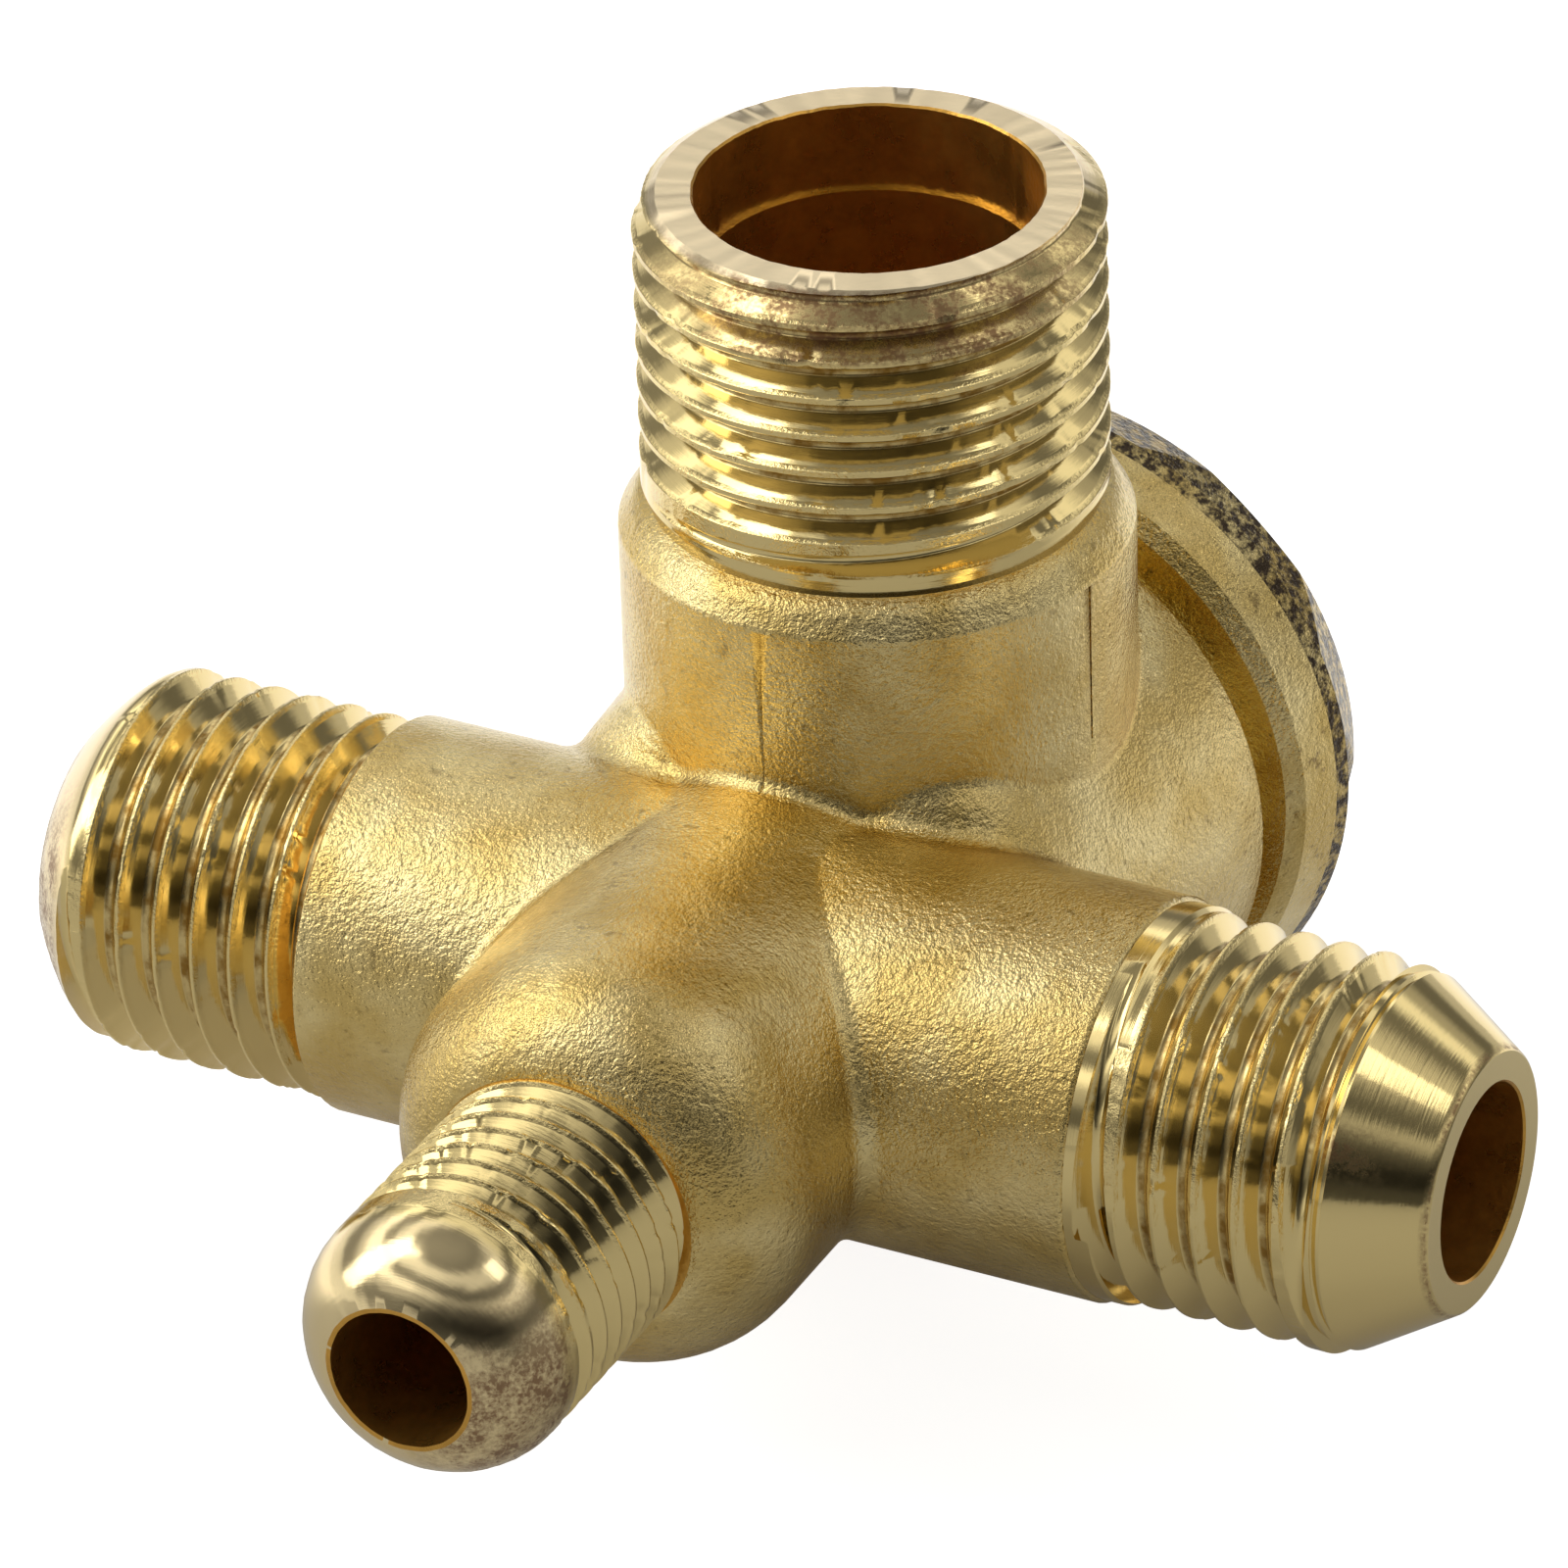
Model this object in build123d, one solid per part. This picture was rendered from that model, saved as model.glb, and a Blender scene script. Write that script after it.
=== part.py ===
from build123d import *
import math
import os

# Non-return valve of a piston air compressor: one brass stamping with four male
# ports, and a spring-loaded poppet behind a screwed hexagon cap.
# Millimetres, +Z up along the tank port. The origin is on the tank port's axis, at
# the foot of its thread. Inside this script everything is drawn about the crossing
# of the run (X) and the valve axis (Y), and moved to the origin last.

# Tank port (up)
tank_drop = 19.5          # shoulder above the run axis
tank_offset = 13.5        # tank axis behind the run axis
tank_thread_d = 20.955    # G 1/2, 14 threads to the inch
tank_thread_l = 14.9      # shoulder to rim
tank_rim_d = 18.3         # flat ring left by the lead-in chamfer
tank_chamfer = 0.9
tank_neck_d = 20.3        # turned band under the last turn
tank_neck_l = 1.5
tank_shoulder_d = 21.2
tank_shoulder_h = 1.45
tank_collar_d = 23.1
tank_bore_d = 15.5
tank_bore_l = 4.2
tank_core_d = 15.0
tank_core_l = 19.2        # rim to the end of the wide core
tank_port_d = 10.0        # cross hole into the valve chamber
drill_point = 59.0        # half angle of a drill's point, in degrees

# Run with its two ports (left and right)
run_tube_d = 18.3
run_thread_d = 17.6       # M18 x 2 as plated
run_neck_l = 1.3          # plain band before the first turn
run_bore_d = 8.9
run_core_d = 7.6          # narrower cross passage between the two bores
run_core_l = 15.5         # run centre to the end of each wide bore
run_edge = 0.2            # broken edge where the stamping meets the turned neck

right_tube_l = 19.6
right_thread_l = 9.7
right_relief_l = 0.9
right_relief_d = 15.6
right_cone_d = 16.5
right_tip_l = 35.5        # run centre to the tip
right_tip_d = 11.8

left_tube_l = 18.3
left_tip_l = 33.2
left_chamfer_l = 1.9
left_tip_d = 12.6
left_round = 0.8

# Front port (unloader line)
boss_d = 20.0
boss_l = 18.5
boss_round = 5.5
front_thread_d = 12.6
front_tip_l = 33.3
front_nose_r = 4.5        # ball nose, cut open by the bore
front_bore_d = 6.6
front_core_d = 5.2
front_core_l = 11.0       # valve centre to the end of the wide bore

# Valve chamber (rear)
chamber_d = 29.4          # at the rear rim
chamber_front_d = 26.8
chamber_front_l = 3.0     # valve centre to the front of the chamber
chamber_l = 22.8          # valve centre to the rear rim
chamber_round = 4.0
chamber_rim = 0.5
chamber_stock = 6.0
chamber_bore_d = 21.0
chamber_floor_l = 4.5
seat_bore_d = 9.0
seat_lip = 0.9
seat_lip_w = 1.1
cap_thread_d = 24.0       # M24 x 1.5
cap_thread_l = 5.3        # threaded depth inside the rear rim
spot_face_gap = 0.6

# Blends of the stamping
collar_blend = 0.7
branch_blend = 1.0

# Cap and its washer
washer_t = 1.6
washer_d = 27.2
cap_flange_d = 31.1       # front edge of the flange
cap_flange_max_d = 32.7
cap_flange_t = 3.6
cap_flange_bevel = 0.7
cap_hex = 30.0            # across the flats
cap_hex_turn = 14.0       # a corner of the hexagon above the horizontal, in degrees
cap_hex_h = 3.3
cap_corner_d = 32.6       # over the corners, beside the flange
cap_corner_back_d = 30.6  # over the corners, at the rear
cap_back_d = 29.4
cap_back_bevel = 0.4
cap_nose_gap = 0.5        # short of the end of the body's thread
cap_guide_l = 8.9
spring_seat_d = 11.2
spring_seat_depth = 0.8

# Poppet, seal and spring
lift = 3.0                # travel off the seat
poppet_d = 15.4
poppet_t = 3.0
seal_d = 13.0
seal_t = 2.2
seal_proud = 0.9          # rubber standing out of its pocket
seal_bead = 0.4
stem_d = 5.8
stem_l = 12.0
stem_chamfer = 0.6
guide_gap = 0.06          # radial, stem in the cap's bore
rib_d = 8.0
rib_h = 0.7
spring_wire = 0.8
spring_mean_d = 9.4
spring_turns = 3.6
spring_facets = 8         # the wire's section
spring_gap = 0.05         # at each end, so that no face is shared


def turned(profile, axis):
    """Solid of revolution from (station, radius) points along X, Y or Z."""
    points = [Vector(s, r) for s, r in profile]
    ends = [Vector(profile[-1][0], 0), Vector(profile[0][0], 0)]
    face = make_face(Polyline(*points, *ends, close=True))
    solid = revolve(face, Axis.X, 360)
    if axis == "Y":
        return solid.rotate(Axis.Z, 90)
    if axis == "Z":
        return solid.rotate(Axis.Y, -90)
    return solid


def rod(diameter, start, end, axis):
    """Plain cylinder along an axis, between two stations."""
    return turned([(start, diameter / 2), (end, diameter / 2)], axis)


def ring_edges(solid, axis, station, radius):
    """Circular edges of a turned solid at one station and radius."""
    index = {"X": 0, "Y": 1, "Z": 2}[axis]
    found = []
    for edge in solid.edges().filter_by(GeomType.CIRCLE):
        centre = tuple(edge.arc_center)
        if abs(centre[index] - station) < 0.01 and abs(edge.radius - radius) < 0.01:
            found.append(edge)
    return found


def tank_port():
    """Collar, sloped shoulder, neck and thread, stood on the chamber."""
    base = tank_drop
    rim = base + tank_thread_l
    profile = [
        (0, tank_collar_d / 2),
        (base - tank_shoulder_h, tank_collar_d / 2),
        (base, tank_shoulder_d / 2),
        (base, tank_neck_d / 2),
        (base + tank_neck_l, tank_neck_d / 2),
        (base + tank_neck_l, tank_thread_d / 2),
        (rim - tank_chamfer, tank_thread_d / 2),
        (rim, tank_rim_d / 2),
    ]
    port = turned(profile, "Z")
    port = fillet(ring_edges(port, "Z", base - tank_shoulder_h, tank_collar_d / 2), 0.5)
    return port.moved(Location((0, tank_offset, 0)))


def run():
    """Tube with the coned port on the right and the plain one on the left."""
    relief = right_tube_l + run_neck_l + right_thread_l
    profile = [
        (-left_tip_l, left_tip_d / 2),
        (-left_tip_l + left_chamfer_l, run_thread_d / 2),
        (-left_tube_l, run_thread_d / 2),
        (-left_tube_l, run_tube_d / 2),
        (right_tube_l, run_tube_d / 2),
        (right_tube_l, run_thread_d / 2),
        (relief, run_thread_d / 2),
        (relief, right_relief_d / 2),
        (relief + right_relief_l, right_relief_d / 2),
        (relief + right_relief_l, right_cone_d / 2),
        (right_tip_l, right_tip_d / 2),
    ]
    tube = turned(profile, "X")
    tube = fillet(ring_edges(tube, "X", -left_tip_l, left_tip_d / 2), left_round)
    edges = ring_edges(tube, "X", -left_tip_l + left_chamfer_l, run_thread_d / 2)
    tube = fillet(edges, left_round)
    edges = ring_edges(tube, "X", -left_tube_l, run_tube_d / 2)
    edges += ring_edges(tube, "X", right_tube_l, run_tube_d / 2)
    return chamfer(edges, run_edge)


def front_port():
    """Rounded boss and the small thread with its ball nose."""
    boss = rod(boss_d, -boss_l, chamber_front_l + chamber_round, "Y")
    boss = fillet(ring_edges(boss, "Y", -boss_l, boss_d / 2), boss_round)
    stub = rod(front_thread_d, -front_tip_l, -boss_l + 1, "Y")
    tip = ring_edges(stub, "Y", -front_tip_l, front_thread_d / 2)
    stub = fillet(tip, front_nose_r)
    return boss, stub


def chamber():
    """Tapered drum that holds the poppet, with stock left on for the spot face."""
    slope = (chamber_d - chamber_front_d) / (chamber_l - chamber_front_l)
    profile = [
        (chamber_front_l, chamber_front_d / 2),
        (chamber_l + chamber_stock, (chamber_d + slope * chamber_stock) / 2),
    ]
    drum = turned(profile, "Y")
    return fillet(ring_edges(drum, "Y", chamber_front_l, chamber_front_d / 2), chamber_round)


def passages():
    """Everything drilled and bored out of the stamping."""
    rim = tank_drop + tank_thread_l
    core = rim - tank_core_l
    point = (tank_core_d - tank_port_d) / 2 / math.tan(math.radians(drill_point))
    tank = turned(
        [
            (0, tank_port_d / 2),
            (core - point, tank_port_d / 2),
            (core, tank_core_d / 2),
            (rim - tank_bore_l, tank_core_d / 2),
            (rim - tank_bore_l, tank_bore_d / 2),
            (rim, tank_bore_d / 2),
        ],
        "Z",
    ).moved(Location((0, tank_offset, 0)))
    along_run = turned(
        [
            (-left_tip_l, run_bore_d / 2),
            (-run_core_l, run_bore_d / 2),
            (-run_core_l, run_core_d / 2),
            (run_core_l, run_core_d / 2),
            (run_core_l, run_bore_d / 2),
            (right_tip_l, run_bore_d / 2),
        ],
        "X",
    )
    front = rod(front_bore_d, -front_tip_l, -front_core_l, "Y")
    front += rod(front_core_d, -front_core_l, 0, "Y")
    inlet = rod(seat_bore_d, 0, chamber_floor_l + seat_lip, "Y")
    well = rod(chamber_bore_d, chamber_floor_l, chamber_l, "Y")
    lip_d = seat_bore_d + 2 * seat_lip_w
    lip = rod(lip_d, chamber_floor_l, chamber_floor_l + seat_lip, "Y")
    thread = rod(cap_thread_d, chamber_l - cap_thread_l, chamber_l, "Y")
    return (well - lip) + inlet + thread + tank + along_run + front


def seams(solid, reach):
    """Edges within a reach of the centre that no turned profile holds."""
    found = []
    for edge in solid.edges():
        turned_edge = edge.geom_type in (GeomType.LINE, GeomType.CIRCLE)
        if not turned_edge and abs((edge @ 0.5).X) < reach:
            found.append(edge)
    return found


def collar_foot(solid):
    """Edges where the tank collar runs into the tube, the boss and the drum."""
    foot = []
    for edge in seams(solid, right_tube_l):
        middle = edge @ 0.5
        radius = math.hypot(middle.X, middle.Y - tank_offset)
        low = middle.Z < tank_drop - tank_shoulder_h - collar_blend
        if low and abs(radius - tank_collar_d / 2) < 0.02:
            foot.append(edge)
    return foot


def spot_face():
    """Cut that squares the drum's rear end, bevels its rim and clears the flange."""
    spot_d = cap_flange_max_d + 2 * spot_face_gap
    face = rod(spot_d, chamber_l, chamber_l + 2 * chamber_stock, "Y")
    bevel = rod(spot_d, chamber_l - chamber_rim, chamber_l, "Y")
    kept = [
        (chamber_l - chamber_rim, chamber_d / 2),
        (chamber_l, chamber_d / 2 - chamber_rim),
    ]
    return face + (bevel - turned(kept, "Y"))


def valve_body():
    """The stamping: four branches blended together, then turned and bored."""
    boss, stub = front_port()
    body = run() + boss + chamber()
    body = fillet(seams(body, right_tube_l), branch_blend)
    body = body + tank_port()
    body = fillet(collar_foot(body), collar_blend)
    return body + stub - spot_face() - passages()


def end_cap():
    """Hexagon cap: flange, spanner hexagon, threaded nose and stem guide."""
    front = chamber_l + washer_t
    back = front + cap_flange_t + cap_hex_h
    flange = turned(
        [
            (front, cap_flange_d / 2 - cap_flange_bevel),
            (front + cap_flange_bevel, cap_flange_d / 2),
            (front + cap_flange_t, cap_flange_max_d / 2),
        ],
        "Y",
    )
    prism = extrude(RegularPolygon(cap_hex / 2, 6, major_radius=False), back - front)
    prism = prism.rotate(Axis.Z, 30 + cap_hex_turn).rotate(Axis.X, -90)
    prism = prism.moved(Location((0, front, 0)))
    trim = turned(
        [
            (front + cap_flange_t, cap_corner_d / 2),
            (back - cap_back_bevel, cap_corner_back_d / 2),
            (back, cap_back_d / 2),
        ],
        "Y",
    )
    nose_end = chamber_l - cap_thread_l + cap_nose_gap
    nose = rod(cap_thread_d, nose_end, front, "Y")
    nose = chamfer(ring_edges(nose, "Y", nose_end, cap_thread_d / 2), 0.8)
    cap = flange + (prism & trim) + nose
    guide_d = stem_d + 2 * guide_gap
    guide = rod(guide_d, nose_end, nose_end + cap_guide_l, "Y")
    seat = rod(spring_seat_d, nose_end, nose_end + spring_seat_depth, "Y")
    return cap - guide - seat


def cap_washer():
    """Soft washer squeezed between the rear rim and the cap's flange."""
    ring = rod(washer_d, chamber_l, chamber_l + washer_t, "Y")
    return ring - rod(cap_thread_d, chamber_l, chamber_l + washer_t, "Y")


def poppet_back():
    """Station of the poppet's rear face with the valve shut."""
    return chamber_floor_l + seat_lip + seal_proud + poppet_t


def poppet():
    """Cupped disc with a locating rib for the spring and a guide stem."""
    back = poppet_back()
    disc = rod(poppet_d, back - poppet_t, back, "Y")
    disc = chamfer(ring_edges(disc, "Y", back, poppet_d / 2), 0.5)
    rib = rod(rib_d, back, back + rib_h, "Y")
    stem = rod(stem_d, back, back + stem_l, "Y")
    stem = chamfer(ring_edges(stem, "Y", back + stem_l, stem_d / 2), stem_chamfer)
    pocket = rod(seal_d, back - poppet_t, back - poppet_t + seal_t - seal_proud, "Y")
    return disc + rib + stem - pocket


def seal_disc():
    """Rubber disc pressed in the poppet's cup and shut against the seat."""
    face = chamber_floor_l + seat_lip
    disc = rod(seal_d, face, face + seal_t, "Y")
    return chamfer(ring_edges(disc, "Y", face, seal_d / 2), seal_bead)


def spring():
    """Open coil from the poppet's back to the recess in the cap's nose."""
    start = poppet_back() + spring_wire / 2 + spring_gap
    nose_end = chamber_l - cap_thread_l + cap_nose_gap
    end = nose_end + spring_seat_depth - spring_wire / 2 - spring_gap
    length = end - start
    path = Helix(length / spring_turns, length, spring_mean_d / 2)
    section = RegularPolygon(spring_wire / 2, spring_facets)
    coil = sweep(Plane(path @ 0, z_dir=path % 0) * section, path)
    return coil.rotate(Axis.X, -90).moved(Location((0, start, 0)))


os.makedirs("parts", exist_ok=True)
place = Location((0, -tank_offset, -tank_drop - tank_neck_l))
pieces = {
    "valve_body": valve_body(),
    "end_cap": end_cap(),
    "cap_washer": cap_washer(),
    "poppet": poppet(),
    "seal_disc": seal_disc(),
    "poppet_spring": spring(),
}
for name, piece in pieces.items():
    export_step(piece.moved(place), f"parts/{name}.step")
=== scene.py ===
"""Non-return valve of a piston air compressor, dressed over its CAD frame."""
import math
from typing import NamedTuple

import bpy
from mathutils import Matrix, Vector, noise


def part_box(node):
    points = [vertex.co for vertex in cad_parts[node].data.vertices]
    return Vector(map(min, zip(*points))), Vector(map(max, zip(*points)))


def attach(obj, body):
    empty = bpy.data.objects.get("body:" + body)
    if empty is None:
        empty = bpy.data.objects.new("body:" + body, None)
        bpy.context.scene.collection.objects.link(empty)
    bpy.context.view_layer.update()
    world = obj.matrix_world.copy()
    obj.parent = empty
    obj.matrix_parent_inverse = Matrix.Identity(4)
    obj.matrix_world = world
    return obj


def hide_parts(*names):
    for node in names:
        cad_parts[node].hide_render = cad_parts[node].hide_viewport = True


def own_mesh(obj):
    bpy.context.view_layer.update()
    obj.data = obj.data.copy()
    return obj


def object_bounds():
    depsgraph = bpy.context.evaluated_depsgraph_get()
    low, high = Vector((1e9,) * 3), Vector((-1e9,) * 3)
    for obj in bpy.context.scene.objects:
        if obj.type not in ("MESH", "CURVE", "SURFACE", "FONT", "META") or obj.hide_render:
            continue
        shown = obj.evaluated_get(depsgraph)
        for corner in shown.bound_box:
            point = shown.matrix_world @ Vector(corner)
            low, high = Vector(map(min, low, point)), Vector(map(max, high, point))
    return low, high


bl_info = {
    "name": "Compressor Non-return Valve",
    "version": (1, 0, 0),
    "blender": (4, 5, 0),
    "location": "3D View > Sidebar > Valve",
    "description": "Dresses the CAD frame of a brass non-return valve",
    "category": "Object",
}

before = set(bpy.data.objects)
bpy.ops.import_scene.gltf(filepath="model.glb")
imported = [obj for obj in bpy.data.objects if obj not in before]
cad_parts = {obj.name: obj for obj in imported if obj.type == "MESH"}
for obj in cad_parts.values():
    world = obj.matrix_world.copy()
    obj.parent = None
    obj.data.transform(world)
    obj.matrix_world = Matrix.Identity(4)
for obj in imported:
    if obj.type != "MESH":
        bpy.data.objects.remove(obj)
CAD_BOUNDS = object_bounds()
MM = 0.001

# The run and the valve chamber cross here; the origin is at the foot of the tank thread
CROSSING_Y, CROSSING_Z = -13.5, -21.0
CROSSING = Vector((0, CROSSING_Y, CROSSING_Z)) * MM

# Level directions from the valve to the camera and to the picture's right
FRONT = (0.465, -0.885, 0.0)
RIGHT_HAND = (0.885, 0.465, 0.0)

# Camera fitted to the photo: place in millimetres, picture's right, view and focal length
CAMERA_AT = (212.7, -414.5, 264.1)
CAMERA_RIGHT = (0.8924, 0.4505, -0.027)
CAMERA_AHEAD = (-0.3983, 0.758, -0.5166)
LENS = 277.27

# Spot the lamps point at, width over which the floor changes, and the room's brightness
LAMP_AIM = (0, -4, -12)
FLOOR_FADE = 200.0
ROOM_STRENGTH = 1.75

# Foot of each port's stations, and the turn that brings the X axis along the port
PORT_TURNS = {
    "tank": (Vector((0, 0, 0)), -math.pi / 2, "Y"),
    "right": (CROSSING, 0.0, "Z"),
    "left": (CROSSING, math.pi, "Z"),
    "front": (CROSSING, -math.pi / 2, "Z"),
}

# Radii of the turned ends over their crests and in their bores, in millimetres
TANK_CREST_R, TANK_BORE_R, TANK_COUNTERBORE_R = 10.475, 7.5, 7.75
RUN_CREST_R, RUN_BORE_R = 8.775, 4.45
FRONT_CREST_R, FRONT_BORE_R = 6.29, 3.3

# Planes where the turned ends take over from the stamping: x, x, y and z in metres
RIGHT_TRIM = 19.6 * MM
LEFT_TRIM = -18.3 * MM
FRONT_TRIM = -31.68 * MM
TANK_TRIM = -1.5 * MM

# Further out than any piece
FAR = 60 * MM

# Segments round a turned end, and steps in one turn of its groove
ROUND = 160

# Steps in one turn of the poppet's spring
COIL_STEPS = 48

# How far a cutter rises where its groove fades, as a share of the depth
FADE_LIFT = 1.15

# What still counts as the bore's own wall, in millimetres
WALL_SLACK = 0.3

# Collar under the tank thread, and its two creases: heading, width, depth and foot
COLLAR_R = 11.55
COLLAR_TOP = -3.1
COLLAR_CREASES = ((-90.0, 0.08, 0.05, -11.4), (-9.6, 0.26, 0.38, -10.9))

# Radii within which a face is on a drilled wall, and the chamber's floor, in millimetres
TANK_WALL_R = 7.8
BORE_WALL_R = 4.7
CHAMBER_WALL_R = 12.2
CHAMBER_FLOOR_Y = -9.2

# Wear of the turned ends, in millimetres: depth of each mark and length of its noise
WAVINESS, WAVE_LENGTH = 0.010, 1.6
NICK, NICK_LENGTH, NICK_FROM = 0.30, 0.55, 0.28
BATTERED_SIDE, BATTERED_END, BATTERED_LENGTH = 0.07, 0.05, 0.7

# Share of a groove's depth that still counts as its crest
CREST_SHARE = 0.12

# How steeply a stain fades towards its edge
STAIN_SLOPE = 1.6

# Colours of pits, flecks, worn spots and stains, as linear values; the flecks also paint
# shade, the worn spots a highlight and the stains a dark reflection
BODY_PITS = (0.20, 0.13, 0.05)
CAP_PITS = (0.10, 0.05, 0.02)
WASHER_PITS = (0.25, 0.12, 0.03)
POPPET_PITS = (0.3, 0.2, 0.08)
DARK_FLECKS_AND_SHADE = (0.07, 0.05, 0.032)
PALE_WEAR_AND_HIGHLIGHT = (0.92, 0.76, 0.52)
STAIN_AND_REFLECTION_BROWN = (0.24, 0.12, 0.06)

# Station on the cap's Y axis behind which its skin is darkened by flecks and painted shade, in
# millimetres
CAP_FLECKS_AND_SHADE_FROM = 13.7


class TankThreadSizes(bpy.types.PropertyGroup):
    """Pipe thread that screws into the air tank"""

    crest_d: bpy.props.FloatProperty(
        name="Crest diameter", description="Over the crests",
        default=20.95 * MM, unit="LENGTH")
    pitch: bpy.props.FloatProperty(
        name="Pitch", description="Crest to crest",
        default=1.814 * MM, unit="LENGTH")
    depth: bpy.props.FloatProperty(
        name="Depth", description="Crest to root",
        default=1.10 * MM, unit="LENGTH")


class RunThreadSizes(bpy.types.PropertyGroup):
    """Threads of the left and right ports"""

    crest_d: bpy.props.FloatProperty(
        name="Crest diameter", description="Over the crests",
        default=17.55 * MM, unit="LENGTH")
    pitch: bpy.props.FloatProperty(
        name="Pitch", description="Crest to crest",
        default=1.92 * MM, unit="LENGTH")
    depth: bpy.props.FloatProperty(
        name="Depth", description="Crest to root",
        default=1.12 * MM, unit="LENGTH")


class FrontThreadSizes(bpy.types.PropertyGroup):
    """Fine thread of the unloader port"""

    crest_d: bpy.props.FloatProperty(
        name="Crest diameter", description="Over the crests",
        default=12.58 * MM, unit="LENGTH")
    pitch: bpy.props.FloatProperty(
        name="Pitch", description="Crest to crest",
        default=1.333 * MM, unit="LENGTH")
    depth: bpy.props.FloatProperty(
        name="Depth", description="Crest to root",
        default=0.80 * MM, unit="LENGTH")


class SpringSizes(bpy.types.PropertyGroup):
    """Poppet spring"""

    wire_d: bpy.props.FloatProperty(
        name="Wire diameter", description="Drawn wire",
        default=0.8 * MM, unit="LENGTH")
    mean_d: bpy.props.FloatProperty(
        name="Mean diameter", description="Centre line of the coil",
        default=9.4 * MM, unit="LENGTH")
    turns: bpy.props.FloatProperty(
        name="Turns", description="All turns, with the closed ends",
        default=5.2, min=1.0, max=12.0)


class FinishColours(bpy.types.PropertyGroup):
    """Colours of the finishes, as linear values"""

    cast: bpy.props.FloatVectorProperty(
        name="Stamped brass", description="Plated skin of the grit-blasted stamping",
        default=(0.88, 0.70, 0.32), subtype="COLOR", min=0.0, max=1.0)
    turned: bpy.props.FloatVectorProperty(
        name="Turned brass", description="Plated skin of the threads and tips",
        default=(0.85, 0.667, 0.295), subtype="COLOR", min=0.0, max=1.0)
    root: bpy.props.FloatVectorProperty(
        name="Thread root", description="Tarnish left in the thread roots",
        default=(0.34, 0.19, 0.04), subtype="COLOR", min=0.0, max=1.0)
    bore: bpy.props.FloatVectorProperty(
        name="Bore", description="Unplated drilled brass",
        default=(0.80, 0.43, 0.08), subtype="COLOR", min=0.0, max=1.0)
    washer: bpy.props.FloatVectorProperty(
        name="Washer", description="Soft washer under the cap",
        default=(0.98, 0.78, 0.24), subtype="COLOR", min=0.0, max=1.0)


def select_only(piece):
    """Leave one object selected and active, in object mode."""
    if bpy.context.mode != "OBJECT":
        bpy.ops.object.mode_set(mode="OBJECT")
    bpy.ops.object.select_all(action="DESELECT")
    piece.select_set(True)
    bpy.context.view_layer.objects.active = piece


def apply_modifier(piece, kind, **values):
    """Add one modifier with its values and apply it."""
    select_only(piece)
    modifier = piece.modifiers.new("finish", kind)
    for key, value in values.items():
        setattr(modifier, key, value)
    bpy.ops.object.modifier_apply(modifier=modifier.name)


def select_vertices(piece, indices):
    """Select these vertices alone and stay in edit mode."""
    select_only(piece)
    bpy.ops.object.mode_set(mode="EDIT")
    bpy.ops.mesh.select_all(action="DESELECT")
    bpy.ops.object.mode_set(mode="OBJECT")
    for index in indices:
        piece.data.vertices[index].select = True
    bpy.ops.object.mode_set(mode="EDIT")


def draw_profile(name, points):
    """Draw a closed profile vertex by vertex from (station, radius) pairs, in metres."""
    bpy.ops.object.select_all(action="DESELECT")
    bpy.ops.mesh.primitive_plane_add(size=MM)
    piece = bpy.context.object
    piece.name = name
    bpy.ops.object.mode_set(mode="EDIT")
    bpy.ops.mesh.merge(type="CENTER")
    bpy.ops.transform.translate(value=(points[0][0], 0, points[0][1]))
    for before, after in zip(points, points[1:]):
        step = (after[0] - before[0], 0, after[1] - before[1])
        bpy.ops.mesh.extrude_region_move(TRANSFORM_OT_translate={"value": step})
    select_vertices(piece, (0, len(points) - 1))
    bpy.ops.mesh.edge_face_add()
    bpy.ops.object.mode_set(mode="OBJECT")
    return piece


def tidy_mesh(piece, distance=0.002 * MM):
    """Merge doubles and turn all faces outwards."""
    select_only(piece)
    bpy.ops.object.mode_set(mode="EDIT")
    bpy.ops.mesh.select_all(action="SELECT")
    bpy.ops.mesh.remove_doubles(threshold=distance)
    bpy.ops.mesh.normals_make_consistent(inside=False)
    bpy.ops.object.mode_set(mode="OBJECT")


def turned_ring(name, points):
    """Spin a closed profile, drawn in (station, radius), about the X axis."""
    piece = draw_profile(name, points)
    select_only(piece)
    bpy.ops.object.mode_set(mode="EDIT")
    bpy.ops.mesh.select_all(action="SELECT")
    bpy.ops.mesh.spin(steps=ROUND, angle=math.tau, center=(0, 0, 0), axis=(1, 0, 0))
    bpy.ops.object.mode_set(mode="OBJECT")
    tidy_mesh(piece)
    return piece


def thread_section(pitch, crest_r, depth, flank, land):
    """Groove section as (offset, radius) pairs: round root, straight flanks, broken crests."""
    slope = math.tan(math.radians(flank))
    edge = (pitch - land) / 2
    foot = edge - depth * slope
    ease = 0.05 * MM
    # Shares of the foot's half width and of the depth round the root, then the crest's edge
    side = [
        (foot * 0.45, crest_r - depth),
        (foot * 0.85, crest_r - depth * 0.975),
        (foot + 0.08 * depth * slope, crest_r - depth * 0.92),
        (edge - ease * slope, crest_r - ease),
        (edge + ease * 0.6, crest_r),
        (edge + ease, crest_r + ease),
    ]
    return [(-a, r) for a, r in reversed(side)] + side


def fade(turn, turns, fade_in, fade_out):
    """Share of its lift that the cutter has at a turn: 0 where the groove is full."""
    keep = 1.0
    if fade_in:
        keep = min(keep, turn / fade_in)
    if fade_out:
        keep = min(keep, max(0.0, turns - turn) / fade_out)
    return 1 - keep * keep * (3 - 2 * keep)


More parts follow.
